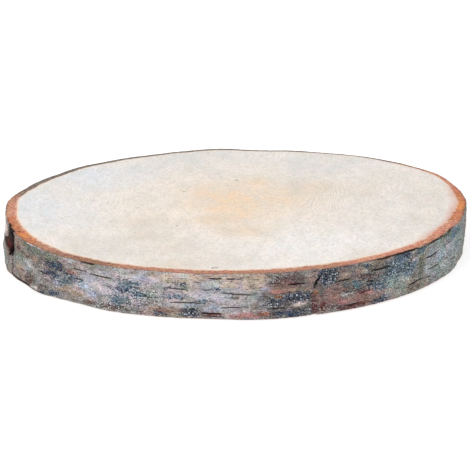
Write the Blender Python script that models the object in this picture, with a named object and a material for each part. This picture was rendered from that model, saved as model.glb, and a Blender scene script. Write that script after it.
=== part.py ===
"""Birch wood slice: one piece of a trunk, sawn straight across twice, with its bark still on.

The wood's two sawn faces are flat. Round them the bark has shrunk a little below the cut, and its outer
side carries a birch's own relief: soft swells, cross slits (lenticels), an old branch scar and an upright
crease. Metres, +Z up, angles counter-clockwise from +X. The origin is the middle of the underside.
"""

import math
import random

import bmesh
import bpy
from mathutils import Vector, noise

# The sawn slice
thickness = 0.0295
mean_radius = 0.1502
# How the trunk is out of round: lobes round the trunk, their height, and the angle of the first one's top
trunk_lobes = (
    (1, 0.0005, -63),
    (2, 0.0048, 81 / 2),
    (3, 0.0009, 88 / 3),
    (4, 0.0012, 150 / 4),
    (5, 0.0007, 138 / 5),
    (6, 0.0006, -106 / 6),
)
# Flats and bulges of the trunk between its lobes: angle, height, half width in degrees
trunk_bumps = (
    (-22, -0.0010, 10),
    (3, 0.0005, 9),
    (11, -0.0004, 8),
    (30, 0.0008, 10),
    (57, 0.0008, 10),
    (83, -0.0024, 9),
    (96, 0.0018, 9),
    (115, -0.0014, 9),
    (137, 0.0020, 10),
    (146, 0.0003, 9),
    (159, -0.0005, 9),
    (173, 0.0014, 10),
)
# The saw ran a little askew to the trunk, so the underside is smaller and shifted towards -X
under_shrink = 0.0010
under_shift = 0.0011
# Where the underside's edge stands in or out of that: angle, height, half width in degrees
under_bumps = (
    (-161, 0.0024, 14),
    (-143, 0.0009, 6),
    (-131, -0.0032, 13),
    (-113, -0.0010, 12),
    (-99, -0.0013, 10),
    (-82, 0.0017, 12),
    (-21, 0.0017, 10),
    (-4, 0.0006, 10),
)

# The bark, thicker on the -Y side of the trunk
bark_thickness = 0.0064
bark_one_sided = 0.0032
bark_wander = 0.0006
bark_wander_spread = 3
# On both faces the bark lies a little below the saw cut, and its outer edge is worn
bark_recess = 0.0002
cambium_slope = 0.0003
rim_wear = 0.0005

# Swells of the bark's outer side
swell_height = 0.0009
swell_length = 0.034
swell_rise = 0.011

# Old branch scar: a hollow with a raised collar, whose reach is told in half sizes of the hollow
scar_angle = -158.6
scar_height = 0.0205
scar_half_width = 0.0080
scar_half_height = 0.0085
scar_depth = 0.0032
collar_height = 0.0007
collar_reach = 1.2
collar_spread = 0.7
# The trunk stands out where the branch's foot was, below the scar and on its left
foot_angle = -170
foot_height = 0.011
foot_half_width = 0.017
foot_half_height = 0.015
foot_swell = 0.0015

# Upright crease, where the trunk once split and healed, and the bark plate that stands up beside it
crease_angle = -71.5
crease_half_width = 0.0028
crease_depth = 0.0012
plate_height = 0.0010
plate_length = 0.030

# Lenticels on the side that faces -Y: angle of the middle, height above the underside, length
front_lenticels = (
    (-151.0, 0.009, 0.010),
    (-140.0, 0.013, 0.011),
    (-129.0, 0.022, 0.014),
    (-118.0, 0.012, 0.012),
    (-103.8, 0.018, 0.022),
    (-103.5, 0.009, 0.020),
    (-94.1, 0.025, 0.015),
    (-91.5, 0.015, 0.014),
    (-86.5, 0.008, 0.012),
    (-79.0, 0.005, 0.014),
    (-76.0, 0.021, 0.012),
    (-63.8, 0.019, 0.013),
    (-60.0, 0.006, 0.012),
    (-52.8, 0.022, 0.013),
    (-38.3, 0.006, 0.014),
    (-33.6, 0.019, 0.010),
    (-29.0, 0.012, 0.012),
    (-14.0, 0.021, 0.012),
)
# Lenticels of the same kind on the far side, spread by a seeded draw
far_lenticels = 22
far_seed = 11
far_arc = 170
far_heights = (0.004, 0.025)
far_lengths = (0.009, 0.020)
slit_margin = 0.0009
slit_depth = 0.0010

# How finely the solid is cut into faces, and from what angle in degrees an edge is shaded sharp
columns = 216
wall_rows = 9
sharp_angle = 40
wall_low = bark_recess + rim_wear
wall_pitch = (thickness - 2 * wall_low) / wall_rows


def turn_between(angle, degrees):
    """Turn from a feature's angle to this one, in radians from -pi to pi."""
    return (angle - math.radians(degrees) + math.pi) % (2 * math.pi) - math.pi


def bump(offset, half_width):
    """A smooth hill: 1 in the middle and 0 from half_width outwards."""
    share = min(abs(offset) / half_width, 1)
    return (1 - share * share) ** 2


def bumps(angle, listed):
    """Sum of the listed hills at an angle round the trunk."""
    return sum(
        height * bump(turn_between(angle, degrees), math.radians(half_width))
        for degrees, height, half_width in listed
    )


def outline(angle):
    """Distance from the middle of the trunk to the bark's outer side, at the upper rim."""
    lobes = sum(
        size * math.cos(count * (angle - math.radians(top)))
        for count, size, top in trunk_lobes
    )
    return mean_radius + lobes + bumps(angle, trunk_bumps)


def bark_width(angle):
    """How thick the bark is on the sawn face."""
    place = Vector((math.cos(angle), math.sin(angle), 0)) * bark_wander_spread
    return bark_thickness - bark_one_sided * math.sin(angle) + bark_wander * noise.noise(place)


def branch_foot(angle, height):
    """Swell of the trunk where the branch's foot was."""
    across = turn_between(angle, foot_angle) * mean_radius / foot_half_width
    return foot_swell * bump(math.hypot(across, (height - foot_height) / foot_half_height), 1)


def branch_scar(angle, height):
    """Hollow of the branch scar, with its collar round it."""
    across = turn_between(angle, scar_angle) * mean_radius / scar_half_width
    up = (height - scar_height) / scar_half_height
    reach = math.hypot(across, up)
    return collar_height * bump(reach - collar_reach, collar_spread) - scar_depth * bump(reach, 1)


def healed_crease(angle):
    """Groove of the crease, and the plate that starts at its lip and dies away along the bark."""
    along = turn_between(angle, crease_angle) * mean_radius
    groove = -crease_depth * bump(along, crease_half_width)
    if not 0 < along < plate_length:
        return groove
    rise = min(along / crease_half_width, 1)
    return groove + plate_height * rise * (1 - along / plate_length)


def bark_relief(angle, height):
    """How far the bark's outer side stands in or out of the trunk's own outline."""
    place = Vector((
        outline(angle) * math.cos(angle) / swell_length,
        outline(angle) * math.sin(angle) / swell_length,
        height / swell_rise,
    ))
    swell = swell_height * noise.noise(place)
    return swell + branch_foot(angle, height) + branch_scar(angle, height) + healed_crease(angle)


def trunk_radius(angle, height):
    """Radius of the trunk at a height above the underside, before any relief."""
    askew = under_shrink + under_shift * math.cos(angle) - bumps(angle, under_bumps)
    return outline(angle) - askew * (1 - height / thickness)


def outer_radius(angle, height):
    """Radius of the bark's outer side."""
    return trunk_radius(angle, height) + bark_relief(angle, height)


def wood_radius(angle, height):
    """Radius of the line where wood meets bark."""
    return trunk_radius(angle, height) - bark_width(angle)


def face_loops(height, inward):
    """Loops across the bark on one sawn face, from the wood to the wall. inward points into the slice."""
    low = height + inward * bark_recess

    def rim_radius(angle):
        return outer_radius(angle, height)

    def middle_radius(angle):
        return (wood_radius(angle, height) + rim_radius(angle)) / 2

    return [
        (lambda a: wood_radius(a, height), height),
        (lambda a: wood_radius(a, height) + cambium_slope, low),
        (middle_radius, low + inward * bark_recess / 2),
        (lambda a: rim_radius(a) - rim_wear, low),
    ]


def wall_loops():
    """Loops up the bark's outer side, from the underside's rim to the upper one."""
    heights = [wall_low + wall_pitch * row for row in range(wall_rows + 1)]
    return [(lambda a, h=height: outer_radius(a, h), height) for height in heights]


def add_loop(mesh, radius, height):
    """One closed loop of vertices round the slice."""
    loop = []
    for column in range(columns):
        angle = 2 * math.pi * column / columns
        reach = radius(angle)
        loop.append(mesh.verts.new((reach * math.cos(angle), reach * math.sin(angle), height)))
    return loop


def join_loops(mesh, lower, upper, material):
    """A band of faces between two loops, facing out of the slice."""
    band = []
    for column in range(columns):
        after = (column + 1) % columns
        face = mesh.faces.new((lower[column], lower[after], upper[after], upper[column]))
        face.material_index = material
        face.smooth = True
        band.append(face)
    return band


def slice_body(mesh):
    """The whole slice as one closed mesh. It returns the wall's bands of faces, for the lenticels."""
    sawn_wood, inner_bark, outer_bark = range(3)
    under = [add_loop(mesh, *spec) for spec in face_loops(0, 1)]
    wall = [add_loop(mesh, *spec) for spec in wall_loops()]
    upper = [add_loop(mesh, *spec) for spec in face_loops(thickness, -1)]
    mesh.faces.new(reversed(under[0])).material_index = sawn_wood
    for inner, outer in zip(under, under[1:]):
        join_loops(mesh, inner, outer, inner_bark)
    join_loops(mesh, under[-1], wall[0], outer_bark)
    bands = [join_loops(mesh, low, high, outer_bark) for low, high in zip(wall, wall[1:])]
    join_loops(mesh, wall[-1], upper[-1], outer_bark)
    for outer, inner in zip(upper[::-1], upper[-2::-1]):
        join_loops(mesh, outer, inner, inner_bark)
    mesh.faces.new(upper[0]).material_index = sawn_wood
    return bands


def all_lenticels():
    """The listed lenticels and the far side's, which a seeded draw spreads over equal arcs."""
    draw = random.Random(far_seed)
    found = list(front_lenticels)
    for number in range(far_lenticels):
        angle = far_arc * (number + draw.random()) / far_lenticels
        found.append((angle, draw.uniform(*far_heights), draw.uniform(*far_lengths)))
    return found


def cut_lenticels(mesh, bands):
    """Sinks a narrow slit into each run of wall faces that a lenticel covers."""
    column_arc = 2 * math.pi * mean_radius / columns
    taken = set()
    for degrees, height, length in all_lenticels():
        row = min(max(int((height - wall_low) / wall_pitch), 0), wall_rows - 1)
        count = max(2, round(length / column_arc))
        first = round(math.radians(degrees) * mean_radius / column_arc - count / 2)
        run = [(row, (first + step) % columns) for step in range(count)]
        near = {(r + up, c) for r, c in run for up in (-1, 0, 1)}
        if near & taken:
            continue
        taken |= set(run)
        faces = [bands[r][c] for r, c in run]
        bmesh.ops.inset_region(mesh, faces=faces, thickness=slit_margin, depth=-slit_depth)


def centre_footprint(mesh):
    """Moves the slice so that its box is centred on the origin, in X and Y."""
    xs = [vert.co.x for vert in mesh.verts]
    ys = [vert.co.y for vert in mesh.verts]
    middle = Vector(((min(xs) + max(xs)) / 2, (min(ys) + max(ys)) / 2, 0))
    bmesh.ops.translate(mesh, verts=mesh.verts, vec=-middle)


def finish(name, colour, roughness):
    """A matt Principled material in the photographed colour."""
    material = bpy.data.materials.new(name)
    material.use_nodes = True
    shader = material.node_tree.nodes["Principled BSDF"]
    shader.inputs["Base Color"].default_value = (*colour, 1)
    shader.inputs["Roughness"].default_value = roughness
    shader.inputs["Metallic"].default_value = 0
    return material


def birch_slice():
    mesh = bmesh.new()
    bands = slice_body(mesh)
    cut_lenticels(mesh, bands)
    centre_footprint(mesh)
    mesh.normal_update()
    data = bpy.data.meshes.new("birch_slice")
    mesh.to_mesh(data)
    mesh.free()
    data.set_sharp_from_angle(angle=math.radians(sharp_angle))
    for material in (
        finish("sawn_wood", (0.80, 0.72, 0.62), 0.75),
        finish("inner_bark", (0.50, 0.23, 0.13), 0.85),
        finish("outer_bark", (0.24, 0.21, 0.20), 0.90),
    ):
        data.materials.append(material)
    slice_object = bpy.data.objects.new("birch_slice", data)
    bpy.context.scene.collection.objects.link(slice_object)
    return slice_object


for old in list(bpy.data.objects):
    bpy.data.objects.remove(old)
birch_slice()
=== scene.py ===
import math
import random

import bpy
import numpy as np
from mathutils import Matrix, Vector, noise


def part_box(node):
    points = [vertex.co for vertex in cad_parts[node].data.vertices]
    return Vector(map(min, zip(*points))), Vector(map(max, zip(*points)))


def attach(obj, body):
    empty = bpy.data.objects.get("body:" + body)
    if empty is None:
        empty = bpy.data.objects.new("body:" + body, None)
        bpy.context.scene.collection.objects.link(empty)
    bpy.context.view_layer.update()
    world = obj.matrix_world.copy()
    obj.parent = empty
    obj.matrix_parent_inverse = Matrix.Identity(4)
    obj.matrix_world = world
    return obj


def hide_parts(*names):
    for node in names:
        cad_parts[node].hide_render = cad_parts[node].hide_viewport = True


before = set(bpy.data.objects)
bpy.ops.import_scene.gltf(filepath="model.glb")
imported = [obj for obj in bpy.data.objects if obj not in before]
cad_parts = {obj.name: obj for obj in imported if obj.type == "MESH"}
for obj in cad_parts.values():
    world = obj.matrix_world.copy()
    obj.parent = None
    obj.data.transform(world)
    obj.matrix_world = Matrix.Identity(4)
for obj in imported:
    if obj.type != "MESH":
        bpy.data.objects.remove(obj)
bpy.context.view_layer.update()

# A slice of birch trunk: two flat saw cuts, a ring of inner bark, and rough grey bark with lichen round it.
# Lengths are in millimetres until a mesh or a light is made. Angles run counter-clockwise from +X, in degrees.
mm = 0.001
sliceLow, sliceHigh = (np.array(corner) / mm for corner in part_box("birch_slice"))
print("frame loaded, slice in mm:", (sliceHigh - sliceLow).round(1))

# The trunk's own form, the same as the solid's
trunk = {
    "thickness": 29.5,
    "meanRadius": 150.2,
    # lobes round the trunk, height, angle of the first top
    "lobes": (
        (1, 0.5, -63), (2, 4.8, 81 / 2), (3, 0.9, 88 / 3), (4, 1.2, 150 / 4), (5, 0.7, 138 / 5),
        (6, 0.6, -106 / 6),
    ),
    # angle, height, half width in degrees
    "bumps": (
        (-22, -1, 10), (3, 0.5, 9), (11, -0.4, 8), (30, 0.8, 10), (57, 0.8, 10), (83, -2.4, 9), (96, 1.8, 9),
        (115, -1.4, 9), (137, 2, 10), (146, 0.3, 9), (159, -0.5, 9), (173, 1.4, 10),
    ),
    "underShrink": 1.0,
    "underShift": 1.1,
    "underBumps": (
        (-161, 2.4, 14), (-143, 0.9, 6), (-131, -3.2, 13), (-113, -1, 12), (-99, -1.3, 10), (-82, 1.7, 12),
        (-21, 1.7, 10), (-4, 0.6, 10),
    ),
    # swells of the bark's outer side: height, length round the trunk, rise
    "swell": (0.9, 34, 11),
}


def halfTurn(angle):  # the same angle, between half a turn back and half a turn on
    return (angle + math.pi) % (2 * math.pi) - math.pi


def turnTo(angle, place):  # turn from a feature's place, in degrees, to this angle, in radians
    return halfTurn(angle - math.radians(place))


def hill(offset, halfWidth):  # 1 in the middle and 0 from halfWidth outwards
    share = np.minimum(np.abs(offset) / halfWidth, 1)
    return (1 - share * share) ** 2


def hills(angle, listed):
    return sum(high * hill(turnTo(angle, place), math.radians(half)) for place, high, half in listed)


def lumps(places, size, seed=0):  # soft noise from about -1 to 1, with lumps of this size
    spots = (places / size + seed * 31.7).reshape(-1, 3).tolist()
    return np.array([noise.noise(spot) for spot in spots]).reshape(places.shape[:-1])


def ripple(places, wave):  # the same, given as how high, how large the lumps, and which noise
    high, size, seed = wave
    return high * lumps(places, size, seed)


def outline(angle):  # the upper rim
    lobes = sum(size * np.cos(count * (angle - math.radians(top))) for count, size, top in trunk["lobes"])
    return trunk["meanRadius"] + lobes + hills(angle, trunk["bumps"])


def trunkRadius(angle, height):  # the upper rim, with the askew saw cut of the underside worked in
    askew = trunk["underShrink"] + trunk["underShift"] * np.cos(angle) - hills(angle, trunk["underBumps"])
    return outline(angle) - askew * (1 - height / trunk["thickness"])


# The bark as it shows on the saw cut: inner bark that browned as it dried, shrunk just below the wood
ring = {
    "width": 6.2,
    "oneSided": 2.2,  # thicker towards -Y
    # angle, height, half width in degrees
    "bumps": (
        (180, 1, 28), (138, 1.6, 30), (-150, 1.2, 22), (-95, -0.8, 22), (-14, 2.1, 26), (32, -0.9, 20),
        (57, -0.5, 16), (102, 1.4, 22),
    ),
    "wander": (0.5, 9, 3),
    "recess": 0.25,
    "innerRecess": 0.7,  # at the wood, as a share of the recess at the rim
    "leastRecess": 0.05,
    "cork": ((0.1, 2.2, 9), (0.07, 0.9, 10)),  # how rough the cut bark is
    "slope": 0.35,  # how far the step from wood down to bark reaches
    "wear": 0.5,  # broken outer edge
    # where the cut bark has weathered, browned, or is still rosy or orange, and where it has stained the wood:
    # angle, half width
    "weathered": ((107, 85),),
    "umber": ((-129, 13),),
    "rosy": ((-32, 40), (24, 14), (-176, 18)),
    "fresh": ((-159, 16), (1, 20)),
    "vivid": ((1, 5), (-153.5, 2.5)),
    "soaked": ((-8, 36),),
}


def ringWidth(angle, places):
    steady = ring["width"] - ring["oneSided"] * np.sin(angle) + hills(angle, ring["bumps"])
    return steady + ripple(places, ring["wander"])


# Branch scar: a hollow with a collar and black rot round it, that a crack joins to the rim.
# The black in the hollow's middle, its holes and the crack is painted shade, and the rot carries painted shade too.
scar = {
    # ovals: angle, height, half width, half height
    "hollow": (-158.6, 20.5, 8, 8.5),
    "foot": (-170, 11, 17, 15),  # where the branch's foot was, the trunk stands out
    "redWood": (-163.2, 16.8, 16, 4.8),
    "depth": 3.2,
    "footHeight": 1.5,
    "collar": (0.7, 1.2, 0.7),  # how high, and its middle and half width as shares of the hollow's size
    # the black rot, partly painted shade of the hollow, from the foot up: height, the angles it starts and ends at
    "rotAndShade": (
        (12.2, -162, -159.6), (13.2, -165.4, -157.8), (15, -168.8, -157), (17.7, -168.6, -157),
        (20, -166, -156.6), (22, -165, -156), (24.6, -163.6, -155.4), (26, -162.8, -155.4), (27.5, -163, -155.8),
        (28.5, -164.4, -157), (29.5, -166.6, -159.2),
    ),
    "rotEdge": ((2.6, 4.5, 12), (1.2, 1.6, 13)),  # noises that make its edge uneven
    "rotFade": 1.4,
    "rotDepth": 1.2,
    # black holes down the middle of the rot, and the crack that runs down out of it, their black painted shade:
    # angle, height and half width at each bend, and then how deep it is
    "cracks": (
        ((
            (-163, 29.5, 1.6), (-160.8, 27, 2), (-159.8, 24, 2.2), (-160, 20, 2.4), (-159.8, 17.5, 2.8),
            (-160.2, 15, 4.2), (-160.8, 12.2, 2.8),
        ), 0.8),
        (((-157.4, 16, 1.6), (-156.8, 12.6, 1.3), (-157.2, 8.3, 1.1), (-157.7, 3.9, 1.2), (-157.9, 0, 1.2)), 1.8),
    ),
}

# Upright crease where the trunk split and healed, with a plate of bark that stands up to the right of it
crease = {
    "angle": -71.5,
    "halfWidth": 2.8,
    "depth": 1.2,
    "plate": 1.0,
    "plateLength": 30,
    # the open crack at the plate's lip, as in the scar, its black painted shade
    "shadedCrack": (
        ((-69.9, 26.6, 0.4), (-70.4, 24.1, 0.65), (-70.9, 21.6, 0.8), (-71.3, 18.6, 0.7), (-71.5, 16.4, 0.3)), 1.6,
    ),
}

# Lenticels, the breathing slits that a birch carries crosswise, and some dark lines of painted shade: angle, height,
# length, half thickness, depth, tilt
slits = {
    "front": (
        # the third, low and 50 long, is no lenticel: a dark line of painted shade along the bottom edge
        (-148.5, 19, 6, 0.4, 0.4, 0.05), (-151, 9, 8, 0.35, 0.4, 0), (-149.5, 1.3, 50, 0.75, 0.6, -0.02),
        (-141, 14.5, 9, 0.4, 0.5, -0.06), (-128.4, 23.2, 13, 0.42, 0.6, -0.05),
        (-122.6, 22, 18, 0.5, 0.7, -0.05), (-129, 16.6, 8, 0.4, 0.5, -0.1), (-132, 18.4, 6, 0.4, 0.5, -0.08),
        (-104.5, 19.1, 18, 0.45, 0.6, 0), (-102.6, 10.2, 20, 0.45, 0.5, 0.01), (-114, 17.6, 9, 0.35, 0.4, 0),
        (-111.5, 12.6, 10, 0.4, 0.5, 0), (-95.1, 26.2, 9.5, 0.65, 1, 0), (-91.6, 26, 6.5, 0.6, 1, 0),
        (-89.9, 16.6, 24, 0.45, 0.7, -0.04), (-91.5, 7.9, 15, 0.4, 0.5, 0), (-96, 4, 15, 0.6, 0.7, 0),
        (-95, 1.9, 11, 0.4, 0.5, 0), (-87, 21.4, 9, 0.3, 0.3, 0), (-87.5, 27.2, 14, 0.3, 0.3, 0),
        (-81.4, 22.6, 10, 0.4, 0.4, 0), (-80.3, 6.7, 10, 0.4, 0.5, 0), (-75.9, 21.3, 13, 0.6, 0.9, 0),
        (-77, 16.2, 10, 0.35, 0.4, 0), (-64, 20, 12, 0.55, 0.9, 0.05), (-61, 12.2, 17, 0.35, 0.5, 0.03),
        (-61.5, 3.6, 14, 0.45, 0.5, 0), (-57, 10.4, 7, 0.4, 0.4, 0.03), (-52.9, 22.6, 19, 0.6, 0.8, 0.01),
        (-56.5, 16.4, 6, 0.45, 0.5, -0.04), (-47, 15, 7, 0.35, 0.4, 0.02), (-39.6, 6.7, 21, 0.5, 0.7, 0.02),
        (-34, 6.4, 8, 0.4, 0.5, 0), (-33.3, 20, 17, 0.55, 0.7, 0.03), (-32, 11.5, 18, 0.45, 0.6, 0),
        (-27, 14.8, 7, 0.4, 0.5, 0), (-22.5, 21.4, 8, 0.4, 0.5, 0), (-20, 9, 9, 0.4, 0.5, 0),
        (-12, 16, 12, 0.4, 0.5, 0),
    ),
    # gaps right under the ring, where the outer bark has come away from the inner bark, painted dark as their shade
    "underRing": (
        (-126, 28.7, 12, 0.45, 0.6, 0), (-37, 28.6, 104, 0.34, 0.5, 0), (-48, 28.7, 40, 0.4, 0.6, 0),
    ),
    # spread by a seeded draw: how many, then from and to for height, length, half thickness, depth and tilt
    "far": (30, ((3, 27), (6, 18), (0.35, 0.55), (0.4, 0.8))),
    "hair": (170, ((1, 28.5), (3, 11), (0.25, 0.35), (0.1, 0.35), (-0.05, 0.05))),
    "seed": 11,
}


def allSlits():
    draw = random.Random(slits["seed"])
    found = list(slits["front"]) + list(slits["underRing"])
    count, spans = slits["far"]
    for number in range(count):  # the hidden side, without tilt
        place = 5 + 170 * (number + draw.random()) / count
        found.append((place, *(draw.uniform(*span) for span in spans), 0))
    count, spans = slits["hair"]
    for number in range(count):  # fine ones all round
        found.append((draw.uniform(-180, 180), *(draw.uniform(*span) for span in spans)))
    return found


# What the bark looks like from place to place: angle, height, half length, half height.
# The first three are broad tones, and the others films, stains and crusts on them. White dots come where speck
# is, and grainy bark has more grit.
patches = {
    "dusk": (
        (-79, 12, 22, 16), (-65, 16, 20, 18), (-54, 20, 12, 8), (-149, 25, 26, 9), (-149, 3, 14, 4),
        (-138, 21, 7, 6), (-162, 16, 10, 14), (-155.2, 22, 3.5, 9), (-45, 22, 12, 8),
    ),
    "wan": (
        (-34.6, 15, 3.4, 9), (-31, 17, 5, 3.4), (-124, 14, 16, 10), (-114, 18, 16, 11), (-103, 20, 20, 12),
        (-92, 16, 18, 14), (-148, 15, 5, 3),
    ),
    "sage": ((-30, 16, 14, 14), (-18, 14, 30, 14), (-150, 16, 10, 8), (-46, 12, 16, 9), (-165, 6, 9, 5)),
    "cream": (
        (-107, 26, 8, 3.2), (-101, 27, 12, 2.8), (-103, 24.6, 5, 3), (-89, 26.5, 14, 3), (-86.5, 23, 9, 4),
        (-92, 22.5, 7, 2.6), (-96.5, 28, 10, 1.6), (-63.5, 23.6, 4, 1.6),
    ),
    "tan": (
        (-72.1, 23.5, 2.6, 6), (-41, 4.6, 8, 3), (-54, 27.4, 6, 1.6), (-163, 10, 5, 4), (-150.5, 26, 7, 2.2),
        (-153.5, 26, 7, 3), (-151.5, 9, 7, 6), (-132.3, 7, 9, 3.4), (-144, 21.5, 4, 2.2), (-77, 18, 11, 1.1),
        (-64, 22.5, 4, 2.4), (-61.3, 6.4, 8, 1.8), (-53, 7.5, 6, 1.8), (-43, 9, 8, 4), (-71, 14.3, 2, 1.8),
        (-88, 3, 8, 1.3), (-59, 25, 5, 1.8), (-107, 6, 7, 1.8), (-150, 21, 8, 2.4),
    ),
    "lilac": (
        (-123.8, 17, 11, 4), (-121, 14, 8, 3.6), (-112, 24, 8, 2), (-99, 15.5, 9, 2), (-94, 14, 8, 2.6),
        (-83, 19.2, 4, 1.4), (-40.6, 22, 3, 2.6), (-104.5, 8, 7, 2.6), (-136, 11.5, 4, 2.6), (-22, 19, 8, 3),
    ),
    "mint": (
        (-117, 26.5, 5, 2.6), (-95.4, 22.8, 6, 2.2), (-146.8, 15, 3.4, 1.7), (-63.6, 11, 5.5, 1.6),
        (-131, 28.3, 3, 1), (-102.5, 27.5, 4, 1.3), (-111, 13.5, 5, 1.4), (-26, 9, 7, 2.4), (-44, 12, 6, 2),
    ),
    "sky": (
        (-125.5, 9.5, 4, 2.4), (-128, 13, 5, 1.8), (-95.4, 6.8, 5, 2.2), (-101, 9, 4, 1.4), (-28, 17, 7, 3.6),
        (-46, 24, 6, 1.8),
    ),
    "algae": (
        (-148.3, 27, 6, 2.2), (-143.5, 26.5, 6, 2.4), (-138, 26, 7, 2.8), (-136.5, 23, 4, 2.4),
        (-38.3, 17, 2.8, 10), (-57.3, 26, 3, 1), (-24, 27.6, 12, 1.2), (-152, 18, 6, 2.4),
    ),
    "teal": (
        (-53, 12, 6, 3), (-50, 20, 7, 5), (-116, 19, 6, 3.2), (-113, 14, 5, 2.2), (-118, 8.5, 6, 2.8),
        (-45.5, 26.5, 8, 2.4), (-131, 17, 9, 3), (-133.5, 13, 6, 2.6), (-47, 22, 8, 5.4), (-43, 18, 7, 4),
        (-51, 17, 6, 3.4), (-60.5, 16, 7, 2.6), (-38.5, 27, 6, 1.6), (-104, 14, 5, 1.8), (-18, 25, 14, 2.6),
        (-98, 12, 5, 1.4),
    ),
    "brown": (
        (-146.7, 6.5, 7, 4.4), (-90.5, 14.3, 2.4, 1), (-76, 25, 6, 3.2), (-79, 24, 4, 4), (-119, 3.4, 10, 1.6),
        (-41, 4.6, 6, 2.4), (-126, 3, 6, 1.3), (-57, 19.5, 5, 1.8), (-64, 14, 6, 1.8), (-141, 5, 4, 2),
        (-152.9, 22.6, 2.6, 1.4), (-151.2, 21.2, 3, 1.1), (-148.6, 20.2, 4.6, 0.9),
    ),
    "navy": (
        (-136.5, 21.5, 8, 3), (-138, 15.5, 6, 2.2), (-137.5, 3, 4.5, 1.8), (-140.8, 1.5, 2.6, 1.2),
        (-101.2, 3.8, 6, 2.4), (-108, 3.5, 4, 2), (-76, 12.9, 9.5, 2.8), (-81.2, 10.3, 5.8, 2.7),
        (-77.5, 2.8, 12, 1.9), (-52.7, 2.3, 6, 2.3), (-68.3, 24.2, 6.5, 5), (-44.5, 27.4, 5, 1.2),
        (-103, 22, 3, 1.3), (-94.6, 19.6, 3, 1.1), (-56, 14.6, 3, 1.3), (-57, 10, 2.6, 1.4),
        (-117.3, 15.5, 6, 1.6), (-57.4, 26.4, 3, 1),
    ),
    "maroon": (
        (-96, 3.2, 7.5, 1.2), (-146.2, 6.2, 3.4, 2), (-71.5, 7, 2.4, 5.6), (-69.4, 5, 2, 3.6),
        (-61, 2.6, 13, 1.6), (-58.5, 10.2, 4, 1), (-76.5, 21.4, 4, 0.9),
    ),
    "mauve": ((-67.6, 10.5, 8, 6), (-58, 6, 12, 3), (-79, 20.5, 10, 3), (-66, 15, 9, 3), (-106, 5, 8, 2)),
    "rose": ((-58, 9.4, 6, 1.6), (-88.5, 2.6, 9, 1.5), (-64, 6, 5, 1.6), (-80, 17, 5, 1), (-131, 20.5, 4, 1.2)),
    "rust": (
        (-84, 4.2, 3.6, 1.4), (-80.5, 14.3, 2.8, 0.8), (-71, 14.6, 1.6, 1.8), (-159.5, 28.5, 3, 1),
        (-50.5, 28.8, 3, 0.7),
    ),
    "paper": (
        (-75.2, 8.6, 4.4, 1.3), (-145.2, 2.9, 3.2, 1.6), (-171, 24, 16, 4.6), (-143.6, 2.6, 3, 1.3),
        (-145.5, 29, 10, 0.35), (-92.6, 26.7, 5, 0.45),
    ),
    "speck": (
        (-53, 12, 5, 2.6), (-49, 21, 8, 5), (-41, 13, 5, 7), (-81.3, 25, 6, 2.8), (-68.3, 24.2, 7, 5),
        (-81.5, 10, 5.5, 3.2), (-72.8, 7, 2, 4.6), (-67.5, 3.5, 6, 2.2), (-113, 12, 12, 5), (-120, 4, 11, 2.6),
        (-101, 4, 6, 2.6), (-44, 21, 8, 6), (-133, 20, 7, 4), (-76, 13, 8, 2.6),
    ),
    "grainy": ((-56, 14, 16, 14), (-40, 15, 26, 16), (-22, 15, 34, 16), (-62, 4, 8, 4), (-140, 14, 22, 10)),
}
# The hidden side's patches, spread by a seeded draw: how many, half length, half height
farPatches = {
    "dusk": (7, (12, 26), (6, 16)),
    "wan": (8, (10, 24), (5, 12)),
    "sage": (5, (12, 26), (6, 12)),
    "cream": (7, (6, 14), (2, 4)),
    "tan": (12, (4, 10), (1.5, 4)),
    "lilac": (11, (5, 10), (2, 4)),
    "mint": (9, (3, 7), (1.2, 2.6)),
    "sky": (6, (4, 7), (1.6, 3)),
    "algae": (8, (3, 8), (1.2, 3)),
    "teal": (13, (5, 10), (2, 5)),
    "brown": (11, (3, 8), (1.2, 3.4)),
    "navy": (18, (2.4, 9), (1.1, 2.6)),
    "maroon": (8, (3, 12), (1, 3)),
    "mauve": (5, (6, 12), (2.4, 6)),
    "rose": (6, (3, 7), (1, 2)),
    "rust": (8, (2, 4), (0.7, 1.4)),
    "paper": (6, (1.6, 5), (0.5, 1.6)),
    "speck": (11, (5, 12), (2.4, 6)),
    "grainy": (5, (16, 34), (8, 16)),
}
farSeed = 23


def allPatches():
    draw = random.Random(farSeed)
    found = {kind: list(places) for kind, places in patches.items()}
    for kind, (count, lengths, heights) in farPatches.items():
        for number in range(count):
            place = 4 + 172 * (number + draw.random()) / count
            found[kind].append((place, draw.uniform(1, 28), draw.uniform(*lengths), draw.uniform(*heights)))
    return found


# How finely the slice is meshed
grid = {
    "columns": 1100,
    "wallRows": 70,
    "ringRows": 7,
    "underRingRows": 3,
    "woodRims": (1.5, 4, 8),  # loops inside the wood, for the tints beside the bark
    # the solid's own columns, rows and the distance of its first and last row from the saw cuts
    "solidColumns": 216,
    "solidRows": 10,
    "solidEdge": 0.7,
}
angles = np.linspace(0, 2 * math.pi, grid["columns"], endpoint=False)


def around(radius, height):  # points of one loop or of many
    height = np.broadcast_to(height, radius.shape)
    return np.stack((radius * np.cos(angles), radius * np.sin(angles), height), axis=-1)


def underRim(angle, height):  # points straight below the upper rim, where the bark's noises are read
    rim = outline(angle)
    return np.stack((rim * np.cos(angle), rim * np.sin(angle), height), axis=-1)


def ovalReach(angle, height, oval):  # 0 in the middle of an oval and 1 at its edge
    place, middle, halfWidth, halfHeight = oval
    return np.hypot(turnTo(angle, place) * trunk["meanRadius"] / halfWidth, (height - middle) / halfHeight)


def crackGroove(angle, height, way):  # 1 in the middle of a crack that runs down this way, 0 outside it
    places, heights, widths = (np.array(column, float) for column in zip(*sorted(way, key=lambda spot: spot[1])))
    inside = (height >= heights[0]) & (height <= heights[-1])
    middle = np.interp(height, heights, places)
    width = np.interp(height, heights, widths)
    across = halfTurn(angle - np.radians(middle)) * trunk["meanRadius"]
    return inside * np.exp(-((across / width) ** 2))


# dark rot, partly painted shade of the scar's hollow
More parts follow.
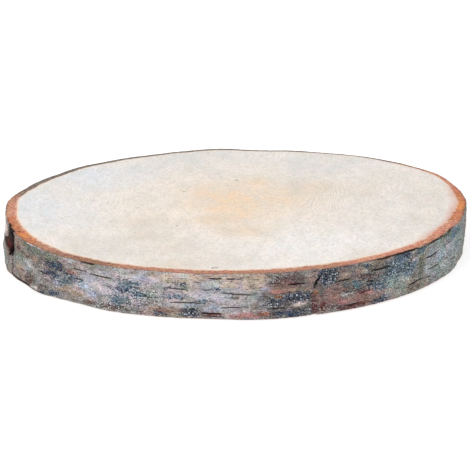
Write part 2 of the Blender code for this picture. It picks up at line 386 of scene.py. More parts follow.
def rotAndShadeShape(angle, height):  # 1 inside the scar's black rot, 0 outside, with an uneven edge
    heights, starts, ends = (np.array(column, float) for column in zip(*scar["rotAndShade"]))
    fromStart, toEnd = (
        halfTurn(way * (angle - np.radians(np.interp(height, heights, edge)))) * trunk["meanRadius"]
        for way, edge in ((1, starts), (-1, ends))
    )
    places = underRim(angle, height)
    within = np.minimum(fromStart, toEnd) + sum(ripple(places, wave) for wave in scar["rotEdge"])
    inside = np.clip(0.5 + within / scar["rotFade"], 0, 1)
    return inside * (height > heights[0])


def solidRelief(angle, height):  # swells, scar and crease, as in the solid, and how deep in the scar a point is
    places = underRim(angle, height)
    swellHeight, swellLength, swellRise = trunk["swell"]
    relief = swellHeight * lumps(places / (swellLength, swellLength, swellRise), 1)
    relief += scar["footHeight"] * hill(ovalReach(angle, height, scar["foot"]), 1)
    reach = ovalReach(angle, height, scar["hollow"])
    hollow = hill(reach, 1)
    collarHeight, collarMiddle, collarHalf = scar["collar"]
    relief += collarHeight * hill(reach - collarMiddle, collarHalf) - scar["depth"] * hollow
    along = turnTo(angle, crease["angle"]) * trunk["meanRadius"]
    relief -= crease["depth"] * hill(along, crease["halfWidth"])
    plate = np.clip(along / crease["halfWidth"], 0, 1) * np.clip(1 - along / crease["plateLength"], 0, 1)
    return relief + crease["plate"] * plate, hollow


# The bark's fine relief, over the forms that the solid has too. A noise is how high, how large, which one.
bark = {
    "plateShape": (1, 1, 2.2),  # plates lie crosswise
    "plates": ((0.34, 9, 1), (0.2, 3.6, 2)),
    "grit": (0.13, 1.7, 4),
    "slitStray": (0.5, 6, 5),
    "lip": 0.2,  # a low lip over each slit, as a share of its depth
    # how the patches' edges are led astray, along and up; small patches less, by their half length and height
    "strayLong": (3.4, 6, 6),
    "strayHigh": (1.7, 4, 7),
    "small": (7, 3),
    "crust": 0.35,  # how far lichen stands out
    "crustSize": 1.4,
}


def wallForm(angle, height):
    # the bark's outer side at these angles and heights: how far it stands out of the trunk, and its masks
    radius = trunkRadius(angle, height)
    places = underRim(angle, height)
    masks = {}
    relief, hollow = solidRelief(angle, height)
    # the rot is cut in a little and painted dark, partly as painted shade of the hollow
    rotAndShade = rotAndShadeShape(angle, height)
    relief -= scar["rotDepth"] * rotAndShade
    masks["rotAndShade"] = rotAndShade
    # painted shade: the middle of the scar's hollow is painted black as its shadow
    masks["shadedCrack"] = np.clip(4 * hollow - 2, 0, 1)  # the middle of the hollow is black too
    masks["redWood"] = hill(ovalReach(angle, height, scar["redWood"]), 1.2) * rotAndShade
    # the cracks are cut in, and painted black as their shade
    for way, depth in (*scar["cracks"], crease["shadedCrack"]):
        groove = crackGroove(angle, height, way)
        relief -= depth * groove
        masks["shadedCrack"] = np.maximum(masks["shadedCrack"], groove)

    for wave in bark["plates"]:
        relief += ripple(places * bark["plateShape"], wave)
    relief += ripple(places, bark["grit"])

    slitStray = ripple(places, bark["slitStray"])
    # dark lenticels, and painted shade in the gaps under the ring and along the bottom edge
    slit = np.zeros_like(height)
    for place, middle, length, halfThick, depth, tilt in allSlits():
        offset = turnTo(angle, place) * trunk["meanRadius"]
        taper = np.clip(1 - (2 * np.abs(offset) / length) ** 4, 0, 1)
        above = height - middle - tilt * offset - slitStray
        cut = np.exp(-((above / (0.8 * halfThick)) ** 2)) * taper
        relief -= depth * cut
        lip = np.exp(-(((above - 2.4 * halfThick) / (1.4 * halfThick)) ** 2)) * taper
        relief += bark["lip"] * depth * lip
        slit = np.maximum(slit, cut * min(1, 2 * depth))
    masks["slit"] = slit

    strayLong = ripple(places, bark["strayLong"])
    strayHigh = ripple(places, bark["strayHigh"])
    smallLength, smallHeight = bark["small"]
    for kind, spots in allPatches().items():
        field = np.zeros_like(height)
        for place, middle, halfLength, halfHeight in spots:
            offset = turnTo(angle, place) * trunk["meanRadius"] + strayLong * min(1, halfLength / smallLength)
            rise = height - middle + strayHigh * min(1, halfHeight / smallHeight)
            distance = np.hypot(offset / halfLength, rise / halfHeight)
            field = np.maximum(field, np.exp(-0.6 * distance ** 2.4))
        masks[kind] = field
    crust = np.maximum(masks["navy"], 0.7 * masks["teal"])
    relief += bark["crust"] * crust * (0.6 + lumps(places, bark["crustSize"], 8))
    return radius + relief, masks


def buildSlice():
    thickness = trunk["thickness"]
    low = ring["recess"] + ring["wear"]
    heights = np.linspace(thickness - low, low, grid["wallRows"] + 1)
    angleGrid, heightGrid = np.meshgrid(angles, heights)
    wallRadius, wallMasks = wallForm(angleGrid, heightGrid)
    print("bark relief done")

    def faceRows(height, inward, rimRadius, count):
        # loops from inside the wood out to the rim; inward points into the slice
        spots = around(outline(angles), height)
        woodRadius = trunkRadius(angles, height) - ringWidth(angles, spots)
        found = [(around(woodRadius - rim, height), 0.0 - rim) for rim in reversed(grid["woodRims"])]
        found.append((around(woodRadius, height), 0.0))
        for step in range(count):
            share = step / (count - 1)
            start, end = woodRadius + ring["slope"], rimRadius - ring["wear"]
            points = around(start + (end - start) * share, height)
            rough = sum(ripple(points, wave) for wave in ring["cork"]) * (share > 0)
            sunk = ring["recess"] * (ring["innerRecess"] + (1 - ring["innerRecess"]) * share)
            points[:, 2] += inward * (sunk + rough + ring["leastRecess"])
            found.append((points, 0.02 + 0.98 * share))  # a little over the wood's 0
        return found

    upper = faceRows(thickness, -1, wallRadius[0], grid["ringRows"])
    under = faceRows(0, 1, wallRadius[-1], grid["underRingRows"])
    loops = [points for points, share in upper]
    shares = [share for points, share in upper]
    wood, inner, outer = 0, 1, 2  # places in the list of materials
    materialOf = [wood] * len(grid["woodRims"]) + [inner] * grid["ringRows"]
    firstWall = len(loops)
    loops += [around(radius, height) for radius, height in zip(wallRadius, heights)]
    shares += [1.0] * len(heights)
    materialOf += [outer] * (len(heights) + 1)
    loops += [points for points, share in reversed(under)]
    shares += [share for points, share in reversed(under)]
    materialOf += [inner] * grid["underRingRows"] + [wood] * len(grid["woodRims"])

    points = np.stack(loops)
    # the solid's box is centred on the origin, so the same shift is taken off here
    middle = (rimBox().max(axis=0) + rimBox().min(axis=0)) / 2
    points[..., 0] -= middle[0]
    points[..., 1] -= middle[1]
    points[..., 2] = np.clip(points[..., 2], 0, thickness)

    count = grid["columns"]
    columns = np.arange(count)
    after = (columns + 1) % count
    faces = []
    materials = []
    for row in range(len(loops) - 1):
        upperRow, lowerRow = row * count, (row + 1) * count
        band = np.stack((upperRow + columns, lowerRow + columns, lowerRow + after, upperRow + after), axis=-1)
        faces += band.tolist()
        materials += [materialOf[row]] * count
    faces.append(columns.tolist())
    faces.append(((len(loops) - 1) * count + columns[::-1]).tolist())
    materials += [wood, wood]

    mesh = bpy.data.meshes.new("birchSlice")
    mesh.from_pydata((points.reshape(-1, 3) * mm).tolist(), [], faces)
    mesh.polygons.foreach_set("material_index", materials)
    mesh.polygons.foreach_set("use_smooth", [True] * (len(faces) - 2) + [False] * 2)
    for kind, values in wallMasks.items():
        field = np.zeros((len(loops), count), np.float32)
        field[firstWall:firstWall + len(heights)] = values
        field[firstWall - 1] = values[0]
        field[firstWall + len(heights)] = values[-1]
        mesh.attributes.new(kind, "FLOAT", "POINT").data.foreach_set("value", field.ravel())
    for kind in ("umber", "rosy", "fresh", "vivid", "weathered", "soaked"):
        field = sum(hill(turnTo(angles, place), math.radians(halfWidth)) for place, halfWidth in ring[kind])
        field = np.tile(np.clip(2.2 * field, 0, 1).astype(np.float32), len(loops))
        mesh.attributes.new(kind, "FLOAT", "POINT").data.foreach_set("value", field)
    shareField = np.repeat(np.array(shares, np.float32), count)
    mesh.attributes.new("ringShare", "FLOAT", "POINT").data.foreach_set("value", shareField)
    mesh.validate()
    mesh.update()
    piece = bpy.data.objects.new("birchSlice", mesh)
    bpy.context.scene.collection.objects.link(piece)
    return piece


def rimBox():  # corners of the solid before it was centred: its loops at the solid's own columns and rows
    count, edge = grid["solidColumns"], grid["solidEdge"]
    heights = np.linspace(edge, trunk["thickness"] - edge, grid["solidRows"])
    column, height = np.meshgrid(np.arange(count) * 2 * math.pi / count, heights)
    reach = trunkRadius(column, height) + solidRelief(column, height)[0]
    return np.stack((reach * np.cos(column), reach * np.sin(column)), axis=-1).reshape(-1, 2)


def linear(hexColour):  # sRGB hex to the linear colour that shaders take
    channels = [int(hexColour[start:start + 2], 16) / 255 for start in (1, 3, 5)]
    return tuple(c / 12.92 if c <= 0.04045 else ((c + 0.055) / 1.055) ** 2.4 for c in channels) + (1,)


def addNode(tree, kind, settings=None, inputs=None):
    node = tree.nodes.new("ShaderNode" + kind)
    for name, value in (settings or {}).items():
        setattr(node, name, value)
    for socket, value in (inputs or {}).items():
        if isinstance(value, bpy.types.NodeSocket):
            tree.links.new(value, node.inputs[socket])
        else:
            node.inputs[socket].default_value = value
    return node


def newMaterial(name, finish):  # with the place of each point of the surface, in millimetres
    material = bpy.data.materials.new(name)
    material.use_nodes = True
    tree = material.node_tree
    shader = tree.nodes["Principled BSDF"]
    shader.inputs["Roughness"].default_value = finish["roughness"]
    shader.inputs["IOR"].default_value = 1.5
    shader.inputs["Specular IOR Level"].default_value = finish["specular"]
    texture = addNode(tree, "TexCoord")
    place = addNode(tree, "VectorMath", {"operation": "SCALE"}, {0: texture.outputs["Object"], "Scale": 1 / mm})
    return material, tree, shader, place.outputs[0]


def tinted(tree, colour, tint, most, field, start, full, way="LINEAR"):
    # lays a tint over a colour: none of it where the field is at start, and the most where it is at full
    cover = addNode(tree, "MapRange", {"interpolation_type": way}, {0: field, 1: start, 2: full, 3: 0, 4: most})
    return addNode(tree, "Mix", {"data_type": "RGBA"}, {0: cover.outputs[0], 6: colour, 7: tint}).outputs[2]


def spotted(tree, colour, place, spots):  # small spots on the upper saw cut: X, Y, half size, hex
    for x, y, size, hexColour in spots:
        spot = (x, y, trunk["thickness"])
        apart = addNode(tree, "VectorMath", {"operation": "DISTANCE"}, {0: place, 1: spot}).outputs["Value"]
        colour = tinted(tree, colour, linear(hexColour), 0.8, apart, size, 0.4 * size)
    return colour


def shaded(tree, colour, cloud, least, most):  # darkens and lightens a colour with a cloud noise
    shade = addNode(tree, "MapRange", None, {0: cloud, 1: 0.3, 2: 0.7, 3: least, 4: most}).outputs[0]
    return addNode(tree, "VectorMath", {"operation": "SCALE"}, {0: colour, "Scale": shade}).outputs[0]


def hueShifted(tree, colour, cloud, swing, least):  # shifts a colour's red, green and blue from spot to spot
    shift = addNode(tree, "VectorMath", {"operation": "MULTIPLY_ADD"}, {0: cloud, 1: swing, 2: least}).outputs[0]
    return addNode(tree, "VectorMath", {"operation": "MULTIPLY"}, {0: colour, 1: shift}).outputs[0]


def finishSurface(tree, shader, colour, height, bump):  # the colour, and a bump as strong and as high as given
    strength, distance = bump
    tree.links.new(colour, shader.inputs["Base Color"])
    rough = addNode(tree, "Bump", None, {"Strength": strength, "Distance": distance * mm, "Height": height})
    tree.links.new(rough.outputs[0], shader.inputs["Normal"])


def sawnBirch():
    # Birch end grain off a band saw: pale, nearly white, with growth rings that hardly show and a warm heart
    finish = {
        "roughness": 0.7,
        "specular": 0.2,
        "bump": (0.3, 0.1),  # strength, height
        "sapwood": "#EEE9E3",
        "heart": "#F3E2CF",
        "heartCore": "#F2C997",
        "ringLine": "#DDCBB8",
        "rim": "#F0DBC8",  # the pale line beside the bark
        "soaked": "#DDB8AD",
        "pore": "#CFC0B2",
        "pith": (-1, 13),
        "heartReach": (95, 15),  # where the heart's tint starts, and where it is strongest
        "coreReach": (50, 12),
        "ringSpacing": 3.2,
        "ringSquash": (1, 0.8, 0),
        "ringStray": 34,
        "ringStraySize": 40,
        "arcs": (50, 22, 50, 0.34),  # where the growth rings show most: X, Y, half size, how much more
        "sawnShape": (1, 0.45, 1),  # the saw went along Y, and what it smeared is longer that way
        # size, detail and roughness of the noises; vessels are finer than this grain, drawn as coarse as they
        # need to show
        "broad": (30, 3, 0.6),
        "medium": (9, 3, 0.65),
        "grain": (1.6, 2, 0.8),
        # clouds in the wood: hex, then where each lies: X, Y, half size, how much it covers; the blue-white ones on
        # the left are a painted cool reflection
        "clouds": {
            "coolReflection": ("#E4E9F0", ((-130, 10, 40, 0.8), (-98, 76, 42, 0.95), (-122, -36, 34, 0.5))),
            "grey": ("#E0E0DF", ((-30, 125, 50, 0.7), (52, 105, 40, 0.6))),
            "warmGrey": ("#E3DCD5", (
                (130, 20, 42, 0.6), (100, 60, 26, 0.4), (-84, -96, 34, 0.7), (126, -34, 30, 0.5), (-6, -126, 24, 0.7),
            )),
            "white": ("#F4F3F2", ((50, -88, 48, 0.9),)),
            "tan": ("#DBCBB7", (
                (-38, -98, 26, 0.45), (-60, -36, 24, 0.5), (-56, -68, 20, 0.5), (52, 46, 22, 0.5),
                (84, 40, 26, 0.35), (-40, -130, 22, 0.6), (84, -112, 22, 0.45),
            )),
            "cream": ("#F8EEE4", ((-30, -20, 18, 0.6),)),
            "amber": ("#E9D0B0", ((6, -58, 20, 0.6), (-16, -30, 16, 0.6), (14, 60, 12, 0.7))),
        },
        "cloudStray": 1.2,
        "spots": (
            (0, 64, 1.8, "#9C8E84"),
            (-35, 35, 1.6, "#A5968A"),
            (-38, -46, 1.2, "#A08E80"),
            (-64, -4, 1.2, "#B5A698"),
            (96, 22, 1.2, "#A89A90"),
            (58, -34, 1.0, "#AC9C90"),
            (-14.4, -137.3, 1.5, "#4A3B36"),
            (-12.4, -136.9, 1.3, "#54443E"),
            (95, -91, 1.0, "#A58E80"),
            (130, 22, 1.0, "#A58E80"),
        ),
    }
    material, tree, shader, place = newMaterial("sawnBirch", finish)
    sawn = addNode(tree, "VectorMath", {"operation": "MULTIPLY"}, {0: place, 1: finish["sawnShape"]}).outputs[0]
    broad, medium, grain = (
        addNode(tree, "TexNoise", None, {"Vector": sawn, "Scale": 1 / size, "Detail": detail, "Roughness": rough})
        for size, detail, rough in (finish["broad"], finish["medium"], finish["grain"])
    )
    broadCloud, mediumCloud = broad.outputs[0], medium.outputs[0]

    # rings round the pith, led astray as they grew
    x, y = finish["pith"]
    fromPith = addNode(tree, "VectorMath", {"operation": "ADD"}, {0: place, 1: (-x, -y, 0)}).outputs[0]
    stray = addNode(tree, "TexNoise", None, {
        "Vector": place, "Scale": 1 / finish["ringStraySize"], "Detail": 1, "Roughness": 0.4,
    }).outputs["Color"]
    far = finish["ringStray"]
    bent = addNode(tree, "VectorMath", {"operation": "MULTIPLY_ADD"}, {0: stray, 1: (far, far, 0), 2: fromPith})
    centred = addNode(tree, "VectorMath", {"operation": "ADD"}, {0: bent.outputs[0], 1: (-far / 2, -far / 2, 0)})
    flat = addNode(tree, "VectorMath", {"operation": "MULTIPLY"}, {0: centred.outputs[0], 1: finish["ringSquash"]})
    distance = addNode(tree, "VectorMath", {"operation": "LENGTH"}, {0: flat.outputs[0]}).outputs["Value"]
    turns = 2 * math.pi / finish["ringSpacing"]
    phase = addNode(tree, "Math", {"operation": "MULTIPLY"}, {0: distance, 1: turns}).outputs[0]
    wave = addNode(tree, "Math", {"operation": "SINE"}, {0: phase}).outputs[0]
    ringLine = addNode(tree, "MapRange", None, {0: wave, 1: 0.1, 2: 1, 3: 0, 4: 1}).outputs[0]
    ringDepth = addNode(tree, "MapRange", None, {0: broadCloud, 1: 0.45, 2: 0.62, 3: 0.05, 4: 0.3}).outputs[0]
    x, y, size, more = finish["arcs"]
    spot = (x, y, trunk["thickness"])
    apart = addNode(tree, "VectorMath", {"operation": "DISTANCE"}, {0: place, 1: spot}).outputs["Value"]
    arcs = addNode(tree, "MapRange", {"interpolation_type": "SMOOTHSTEP"}, {
        0: apart, 1: size, 2: 0.3 * size, 3: 0, 4: more,
    }).outputs[0]
    ringDepth = addNode(tree, "Math", {"operation": "ADD"}, {0: ringDepth, 1: arcs}).outputs[0]
    ringCover = addNode(tree, "Math", {"operation": "MULTIPLY"}, {0: ringLine, 1: ringDepth}).outputs[0]

    # the heart, the clouds with the painted cool reflection, and the heart's core
    colour = tinted(
        tree, linear(finish["sapwood"]), linear(finish["heart"]), 0.75, distance, *finish["heartReach"], "SMOOTHSTEP"
    )
    clouds = ((spot, hexColour) for hexColour, spots in finish["clouds"].values() for spot in spots)
    for (x, y, size, most), hexColour in clouds:
        spot = (x, y, trunk["thickness"])
        apart = addNode(tree, "VectorMath", {"operation": "DISTANCE"}, {0: place, 1: spot}).outputs["Value"]
        strayed = addNode(tree, "Math", {"operation": "MULTIPLY_ADD"}, {
            0: broadCloud, 1: finish["cloudStray"] * size, 2: apart,
        }).outputs[0]
        colour = tinted(tree, colour, linear(hexColour), most, strayed, 1.9 * size, 0.6 * size, "SMOOTHSTEP")
    start, full = finish["coreReach"]
    core = addNode(tree, "MapRange", {"interpolation_type": "SMOOTHSTEP"}, {
        0: distance, 1: start, 2: full, 3: 0, 4: 0.85,
    }).outputs[0]
    patchy = addNode(tree, "MapRange", None, {0: mediumCloud, 1: 0.40, 2: 0.64, 3: 0.15, 4: 0.72}).outputs[0]
    cover = addNode(tree, "Math", {"operation": "MULTIPLY"}, {0: core, 1: patchy}).outputs[0]
    for cover, kind in ((cover, "heartCore"), (ringCover, "ringLine")):
        tint = linear(finish[kind])
        colour = addNode(tree, "Mix", {"data_type": "RGBA"}, {0: cover, 6: colour, 7: tint}).outputs[2]

    # the speckle of the vessels, and light and dark places
    colour = tinted(tree, colour, linear(finish["pore"]), 0.6, grain.outputs[0], 0.40, 0.72)
    for cloud, swing in ((broadCloud, 0.025), (mediumCloud, 0.05)):
        colour = shaded(tree, colour, cloud, 1 - swing, 1 + swing)
    colour = hueShifted(tree, colour, medium.outputs["Color"], (0.12, 0.08, 0.14), (0.94, 0.96, 0.93))

    # the pale line beside the bark, and on the right the bark's red that has soaked into the wood
    share = addNode(tree, "Attribute", {"attribute_name": "ringShare"}).outputs["Fac"]
    colour = tinted(tree, colour, linear(finish["rim"]), 0.9, share, -2.0, 0.0)
    soaked = addNode(tree, "Attribute", {"attribute_name": "soaked"}).outputs["Fac"]
    reach = addNode(tree, "Math", {"operation": "MULTIPLY_ADD"}, {0: mediumCloud, 1: 9, 2: share}).outputs[0]
    near = addNode(tree, "MapRange", {"interpolation_type": "SMOOTHSTEP"}, {0: reach, 1: -1, 2: 5, 3: 0, 4: 0.95})
    cover = addNode(tree, "Math", {"operation": "MULTIPLY"}, {0: near.outputs[0], 1: soaked}).outputs[0]
    red = linear(finish["soaked"])
    colour = addNode(tree, "Mix", {"data_type": "RGBA"}, {0: cover, 6: colour, 7: red}).outputs[2]
    colour = spotted(tree, colour, place, finish["spots"])
    finishSurface(tree, shader, colour, grain.outputs[0], finish["bump"])
    return material


def innerBark():
    # Dried inner bark on a saw cut: rust brown and corky, with paler grains of stone cells in it, grey where
    # it has weathered
    finish = {
        "roughness": 0.85,
        "specular": 0.2,
        "bump": (0.6, 0.3),  # strength, height
        # pale and dark grains; the first lies under all the others
        "tints": {
            "dull": ("#CE9A82", "#9A624C"),
            "umber": ("#B58D77", "#7A4D3B"),
            "rosy": ("#E6AB92", "#B0624B"),
            "fresh": ("#E49C73", "#9E4C2C"),
            "vivid": ("#EDA268", "#B5602F"),
            "weathered": ("#8F8880", "#4E4843"),
        },
        "cambium": "#E9CDB8",
        # darker outer bark, and a painted shadow line along the ring's outer edge
        "edge": "#6B4A3E",
        "pit": "#6A3A28",
        # size, detail and roughness of the noises
        "stray": (4, 3, 0.6),
        "grains": (1.6, 3, 0.75),
        "pits": (1.1, 1, 0.5),
        "spots": ((-137.2, -58.6, 2.0, "#5A3A22"),),
    }
    material, tree, shader, place = newMaterial("innerBark", finish)
    stray, grains, pits = (
        addNode(tree, "TexNoise", None, {"Vector": place, "Scale": 1 / size, "Detail": detail, "Roughness": rough})
        for size, detail, rough in (finish["stray"], finish["grains"], finish["pits"])
    )
    dark = addNode(tree, "MapRange", None, {0: grains.outputs[0], 1: 0.38, 2: 0.64, 3: 0, 4: 1}).outputs[0]
    colour = None
    for kind, (pale, deep) in finish["tints"].items():
        tint = addNode(tree, "Mix", {"data_type": "RGBA"}, {0: dark, 6: linear(pale), 7: linear(deep)}).outputs[2]
        if colour is None:
            colour = tint
            continue
        field = addNode(tree, "Attribute", {"attribute_name": kind}).outputs["Fac"]
        broken = addNode(tree, "Math", {"operation": "MULTIPLY_ADD"}, {0: stray.outputs[0], 1: 1.6, 2: field})
        colour = tinted(tree, colour, tint, 0.95, broken.outputs[0], 1.0, 1.45)
    colour = hueShifted(tree, colour, stray.outputs["Color"], (0.7, 0.9, 0.9), (0.65, 0.55, 0.55))
    colour = tinted(tree, colour, linear(finish["pit"]), 0.75, pits.outputs[0], 0.62, 0.72)
    colour = spotted(tree, colour, place, finish["spots"])

    # pale towards the wood and dark towards the outer bark, the dark partly a painted shadow line along
    # the ring's outer edge
    share = addNode(tree, "Attribute", {"attribute_name": "ringShare"}).outputs["Fac"]
    strayShare = addNode(tree, "Math", {"operation": "MULTIPLY_ADD"}, {0: stray.outputs[0], 1: 0.8, 2: share})
    for kind, most, start, full in (("cambium", 0.85, 0.6, 0.36), ("edge", 0.8, 1.15, 1.5)):
        colour = tinted(tree, colour, linear(finish[kind]), most, strayShare.outputs[0], start, full)
    finishSurface(tree, shader, colour, grains.outputs[0], finish["bump"])
    return material


def outerBark():
    # Old birch bark: dull corky grey with paper-white, lilac and greenish films, crusts of lichen and black slits,
    # and painted shade in its gaps, cracks and the scar's hollow
    finish = {
        "roughness": 0.95,
        "specular": 0.05,
        "bump": (0.8, 0.5),  # strength, height
        "ground": "#8D8681",
        # hex, how much the tint covers, how coarsely it breaks up, and how much of it breaks up
        "tints": {
            "dusk": ("#655B58", 0.8, 5, 1.4),
            "wan": ("#ABA7AB", 0.8, 5, 1.3),
            "sage": ("#8E9896", 0.85, 5, 1.3),
            "cream": ("#B8A593", 0.85, 4, 0.8),
            "tan": ("#9E8878", 0.68, 3, 1.4),
            "lilac": ("#B4B0BA", 0.75, 4, 1.0),
            "mint": ("#B4BBB8", 0.6, 3, 1.2),
            "sky": ("#9FAEC4", 0.55, 3, 1.2),
            "paper": ("#D6C6C0", 0.85, 2.4, 0.8),
            "algae": ("#5E6A56", 0.8, 2.2, 1.8),
            "teal": ("#456270", 0.82, 1.8, 2.2),
            "brown": ("#574641", 0.8, 2.6, 1.8),
            "navy": ("#24384E", 0.92, 1.3, 2.8),
            "mauve": ("#816660", 0.75, 4, 1.2),
            "rose": ("#A2736F", 0.75, 2.6, 1.4),
            "maroon": ("#5C3533", 0.88, 2.2, 1.6),
            "rust": ("#8C5C48", 0.8, 2.6, 1.4),
        },
        "crusty": ("teal", "navy", "speck", "grainy"),  # where grit does most
        "smooth": {"cream": -1.0, "lilac": -0.4, "tan": -0.4, "mauve": -0.4, "maroon": -0.4},
        "speck": "#D8DCE0",
        "stroke": "#BCB7B7",
        # dark pits, and the painted shadow under each lichen dot
        "pit": "#2F2A2A",
        # dark lenticels, and painted shade in the gaps under the ring and along the bottom edge
        "slit": "#231B19",
        # painted shade: the black of the scar's hollow, its holes and the open cracks
        "shadedCrack": "#0E0809",
        # dark rot, and painted shade of the scar's hollow
        "rotAndShade": "#2A1D1C",
        "redWood": "#5C1F1E",
        "darkest": (0.012, 0.011, 0.011),
        "crosswise": (1, 1, 1.7),  # lumps of cork and tints are longer round the trunk
        "lumpSize": 6,
        "gritShape": (1, 1, 1.4),
        "gritSize": 0.9,  # cork grains and lichen granules
        "dotSize": 1.3,
        "blotShape": (1, 0.35, 1),  # longer along the bark, which faces -X at the scar
        "blotSize": 1.8,
        # pale strokes, dark flecks and fine dark threads: how far they are drawn out crosswise, size, where the
        # noise starts to show and where it covers, how much, colour
        "strokes": (
            (5, 3.4, 0.57, 0.70, 0.45, "stroke"),
            (2.6, 1.8, 0.58, 0.72, 0.8, "pit"),
            (9, 8, 0.59, 0.69, 0.65, "pit"),
        ),
        # slits (with painted shade in some gaps), the scar's rot (partly painted shade), red wood, and black holes
        # and
        # cracks (painted shade): how much they are blotted, where they start to show and where they cover, how much
        "marks": {
            "slit": (0, 0.15, 0.6, 0.9),
            "rotAndShade": (1.4, 0.85, 1.5, 0.92),
            "redWood": (2.2, 1.3, 2.1, 0.85),
            "shadedCrack": (1.2, 0.8, 1.3, 0.97),
        },
    }
    material, tree, shader, place = newMaterial("outerBark", finish)
    along, grained, drawn = (
        addNode(tree, "VectorMath", {"operation": "MULTIPLY"}, {0: place, 1: finish[shape]}).outputs[0]
        for shape in ("crosswise", "gritShape", "blotShape")
    )

    # films, stains and crusts, each broken up in its own way
    colour = linear(finish["ground"])
    for number, (kind, (hexColour, most, size, breakUp)) in enumerate(finish["tints"].items()):
        field = addNode(tree, "Attribute", {"attribute_name": kind}).outputs["Fac"]
        moved = addNode(tree, "VectorMath", {"operation": "ADD"}, {0: along, 1: (400 * number, 0, 0)}).outputs[0]
        edge = addNode(tree, "TexNoise", None, {"Vector": moved, "Scale": 1 / size, "Detail": 1, "Roughness": 0.5})
        broken = addNode(tree, "Math", {"operation": "MULTIPLY_ADD"}, {0: edge.outputs[0], 1: breakUp, 2: field})
        start = breakUp / 2 + 0.25
        colour = tinted(tree, colour, linear(hexColour), most, broken.outputs[0], start, start + 0.6, "SMOOTHSTEP")

    # dust and algae shift the hue from spot to spot: where, size, swing, least
    shifts = ((along, 6, (0.24, 0.14, 0.24), (0.90, 0.95, 0.90)), (place, 10, (0.34, 0.12, 0.28), (0.83, 0.94, 0.86)))
    for where, size, swing, least in shifts:
        hue = addNode(tree, "TexNoise", None, {"Vector": where, "Scale": 1 / size, "Detail": 0}).outputs["Color"]
        colour = hueShifted(tree, colour, hue, swing, least)

    # lumps darken and lighten it, and grit does most where it is crusty
    lump, grit, blot = (
        addNode(tree, "TexNoise", None, {
            "Vector": where, "Scale": 1 / finish[size], "Detail": detail, "Roughness": rough,
        }).outputs[0]
        for where, size, detail, rough in (
            (along, "lumpSize", 1, 0.6), (grained, "gritSize", 1, 0.8), (drawn, "blotSize", 2, 0.7),
        )
    )
    colour = shaded(tree, colour, lump, 0.84, 1.24)
    crusty = None
    for kind in finish["crusty"]:
        field = addNode(tree, "Attribute", {"attribute_name": kind}).outputs["Fac"]
        if crusty is None:
            crusty = field
            continue
        crusty = addNode(tree, "Math", {"operation": "MAXIMUM"}, {0: crusty, 1: field}).outputs[0]
    rough = addNode(tree, "Math", {"operation": "MULTIPLY_ADD"}, {0: lump, 1: 1.5, 2: crusty}).outputs[0]
    for kind, less in finish["smooth"].items():
        field = addNode(tree, "Attribute", {"attribute_name": kind}).outputs["Fac"]
        rough = addNode(tree, "Math", {"operation": "MULTIPLY_ADD"}, {0: field, 1: less, 2: rough}).outputs[0]
    strength = addNode(tree, "MapRange", None, {0: rough, 1: 0.5, 2: 1.8, 3: 0.9, 4: 4.0}).outputs[0]
    swing = addNode(tree, "Math", {"operation": "SUBTRACT"}, {0: grit, 1: 0.5}).outputs[0]
    shade = addNode(tree, "Math", {"operation": "MULTIPLY_ADD"}, {0: swing, 1: strength, 2: 1.0}).outputs[0]
    colour = addNode(tree, "VectorMath", {"operation": "SCALE"}, {0: colour, "Scale": shade}).outputs[0]
    grey = addNode(tree, "Math", {"operation": "MULTIPLY"}, {0: swing, 1: 0.26}).outputs[0]
    colour = addNode(tree, "VectorMath", {"operation": "ADD"}, {0: colour, 1: grey}).outputs[0]
    colour = addNode(tree, "VectorMath", {"operation": "MAXIMUM"}, {0: colour, 1: finish["darkest"]}).outputs[0]

    for stretch, size, start, full, most, kind in finish["strokes"]:
        pulled = addNode(tree, "VectorMath", {"operation": "MULTIPLY"}, {0: place, 1: (1, 1, stretch)}).outputs[0]
        mark = addNode(tree, "TexNoise", None, {"Vector": pulled, "Scale": 1 / size, "Detail": 2, "Roughness": 0.6})
        colour = tinted(tree, colour, linear(finish[kind]), most, mark.outputs[0], start, full)

    # white dots of crusty lichen, some of them only, each with a painted shadow under it
    under = addNode(tree, "VectorMath", {"operation": "ADD"}, {0: place, 1: (0.2, 0, 0.6)}).outputs[0]
    dots, dotShadows = (
        addNode(tree, "TexVoronoi", None, {"Vector": where, "Scale": 1 / finish["dotSize"]})
        for where in (place, under)
    )
    dotCover = addNode(tree, "MapRange", None, {0: dots.outputs["Distance"], 1: 0.45, 2: 0.3, 3: 0, 4: 1}).outputs[0]
    dotShadowCover = addNode(tree, "MapRange", None, {0: dotShadows.outputs["Distance"], 1: 0.5, 2: 0.3, 3: 0, 4: 0.7}).outputs[0]
    chosen = addNode(tree, "SeparateColor", None, {0: dots.outputs["Color"]}).outputs[0]
    some = addNode(tree, "MapRange", None, {0: chosen, 1: 0.5, 2: 0.9, 3: 0, 4: 0.9}).outputs[0]
    dotCover = addNode(tree, "Math", {"operation": "MULTIPLY"}, {0: dotCover, 1: some}).outputs[0]
    speck = addNode(tree, "Attribute", {"attribute_name": "speck"}).outputs["Fac"]
    for cover, kind in ((dotShadowCover, "pit"), (dotCover, "speck")):
        cover = addNode(tree, "Math", {"operation": "MULTIPLY"}, {0: cover, 1: speck}).outputs[0]
        tint = linear(finish[kind])
        colour = addNode(tree, "Mix", {"data_type": "RGBA"}, {0: cover, 6: colour, 7: tint}).outputs[2]

    for kind, (blotting, start, full, most) in finish["marks"].items():
        field = addNode(tree, "Attribute", {"attribute_name": kind}).outputs["Fac"]
        blotted = addNode(tree, "Math", {"operation": "MULTIPLY_ADD"}, {0: blot, 1: blotting, 2: field}).outputs[0]
        colour = tinted(tree, colour, linear(finish[kind]), most, blotted, start, full)
    finishSurface(tree, shader, colour, grit, finish["bump"])
    return material


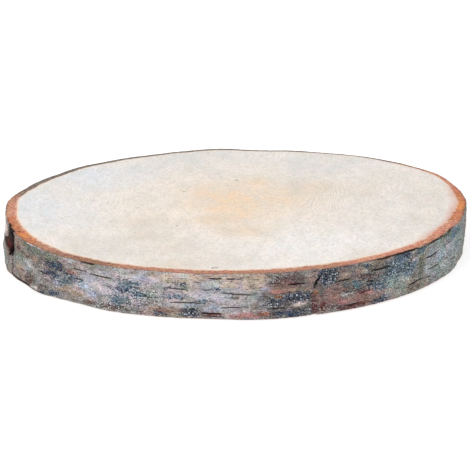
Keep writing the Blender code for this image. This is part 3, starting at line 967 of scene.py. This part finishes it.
birchSlice = buildSlice()
for material in (sawnBirch(), innerBark(), outerBark()):
    birchSlice.data.materials.append(material)
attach(birchSlice, "root")
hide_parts("birch_slice")
print("slice built:", len(birchSlice.data.vertices), "vertices")

# Studio: a white floor and background, with soft light from the front left
studio = {
    "cameraAim": (-1.05, -17.5, 15.0),
    "cameraDistance": 1800,
    "cameraElevation": 16.4,
    "focalPixels": 2782,  # focal length in pixels of a frame 470 wide
    "framePixels": 470,
    "sensorWidth": 36,
    "floorSize": 8000,
    "floorDrop": 0.2,  # so that the floor and the underside don't share a plane
    "floorGrey": 0.6,
    "floorGlow": 0.6,
    "worldStrength": 0.85,
    "softboxSize": (1400, 1000),
    "softboxPlace": (-1100, -1300, 1500),
    "softboxPower": 16,
}


def addObject(name, content):
    thing = bpy.data.objects.new(name, content)
    bpy.context.scene.collection.objects.link(thing)
    return thing


def buildStudio():
    scene = bpy.context.scene
    scene.view_settings.view_transform = "Standard"
    white = (1, 1, 1, 1)
    world = bpy.data.worlds.new("studio")
    world.use_nodes = True
    background = world.node_tree.nodes["Background"]
    background.inputs["Color"].default_value = white
    background.inputs["Strength"].default_value = studio["worldStrength"]
    scene.world = world

    half = studio["floorSize"] * mm / 2
    drop = -studio["floorDrop"] * mm
    floorMesh = bpy.data.meshes.new("floor")
    corners = [(x * half, y * half, drop) for x, y in ((-1, -1), (1, -1), (1, 1), (-1, 1))]
    floorMesh.from_pydata(corners, [], [(0, 1, 2, 3)])
    floor = addObject("floor", floorMesh)
    paper = bpy.data.materials.new("whitePaper")
    paper.use_nodes = True
    shader = paper.node_tree.nodes["Principled BSDF"]
    grey = studio["floorGrey"]
    settings = {
        "Base Color": (grey, grey, grey, 1), "Roughness": 1, "Specular IOR Level": 0,
        "Emission Color": white, "Emission Strength": studio["floorGlow"],
    }
    for socket, value in settings.items():
        shader.inputs[socket].default_value = value
    floorMesh.materials.append(paper)

    light = bpy.data.lights.new("softbox", "AREA")
    light.shape = "RECTANGLE"
    light.size, light.size_y = (side * mm for side in studio["softboxSize"])
    light.energy = studio["softboxPower"]
    softbox = addObject("softbox", light)
    softbox.location = Vector(studio["softboxPlace"]) * mm
    softbox.rotation_euler = (-softbox.location).to_track_quat("-Z", "Y").to_euler()

    elevation = math.radians(studio["cameraElevation"])
    aim = Vector(studio["cameraAim"]) * mm
    back = Vector((0, -math.cos(elevation), math.sin(elevation))) * studio["cameraDistance"] * mm
    lens = bpy.data.cameras.new("camera")
    lens.sensor_width = studio["sensorWidth"]
    lens.lens = studio["sensorWidth"] * studio["focalPixels"] / studio["framePixels"]
    lens.clip_end = 100
    camera = addObject("camera", lens)
    camera.location = aim + back
    camera.rotation_euler = (-back).to_track_quat("-Z", "Y").to_euler()
    scene.camera = camera


buildStudio()
print("studio ready")
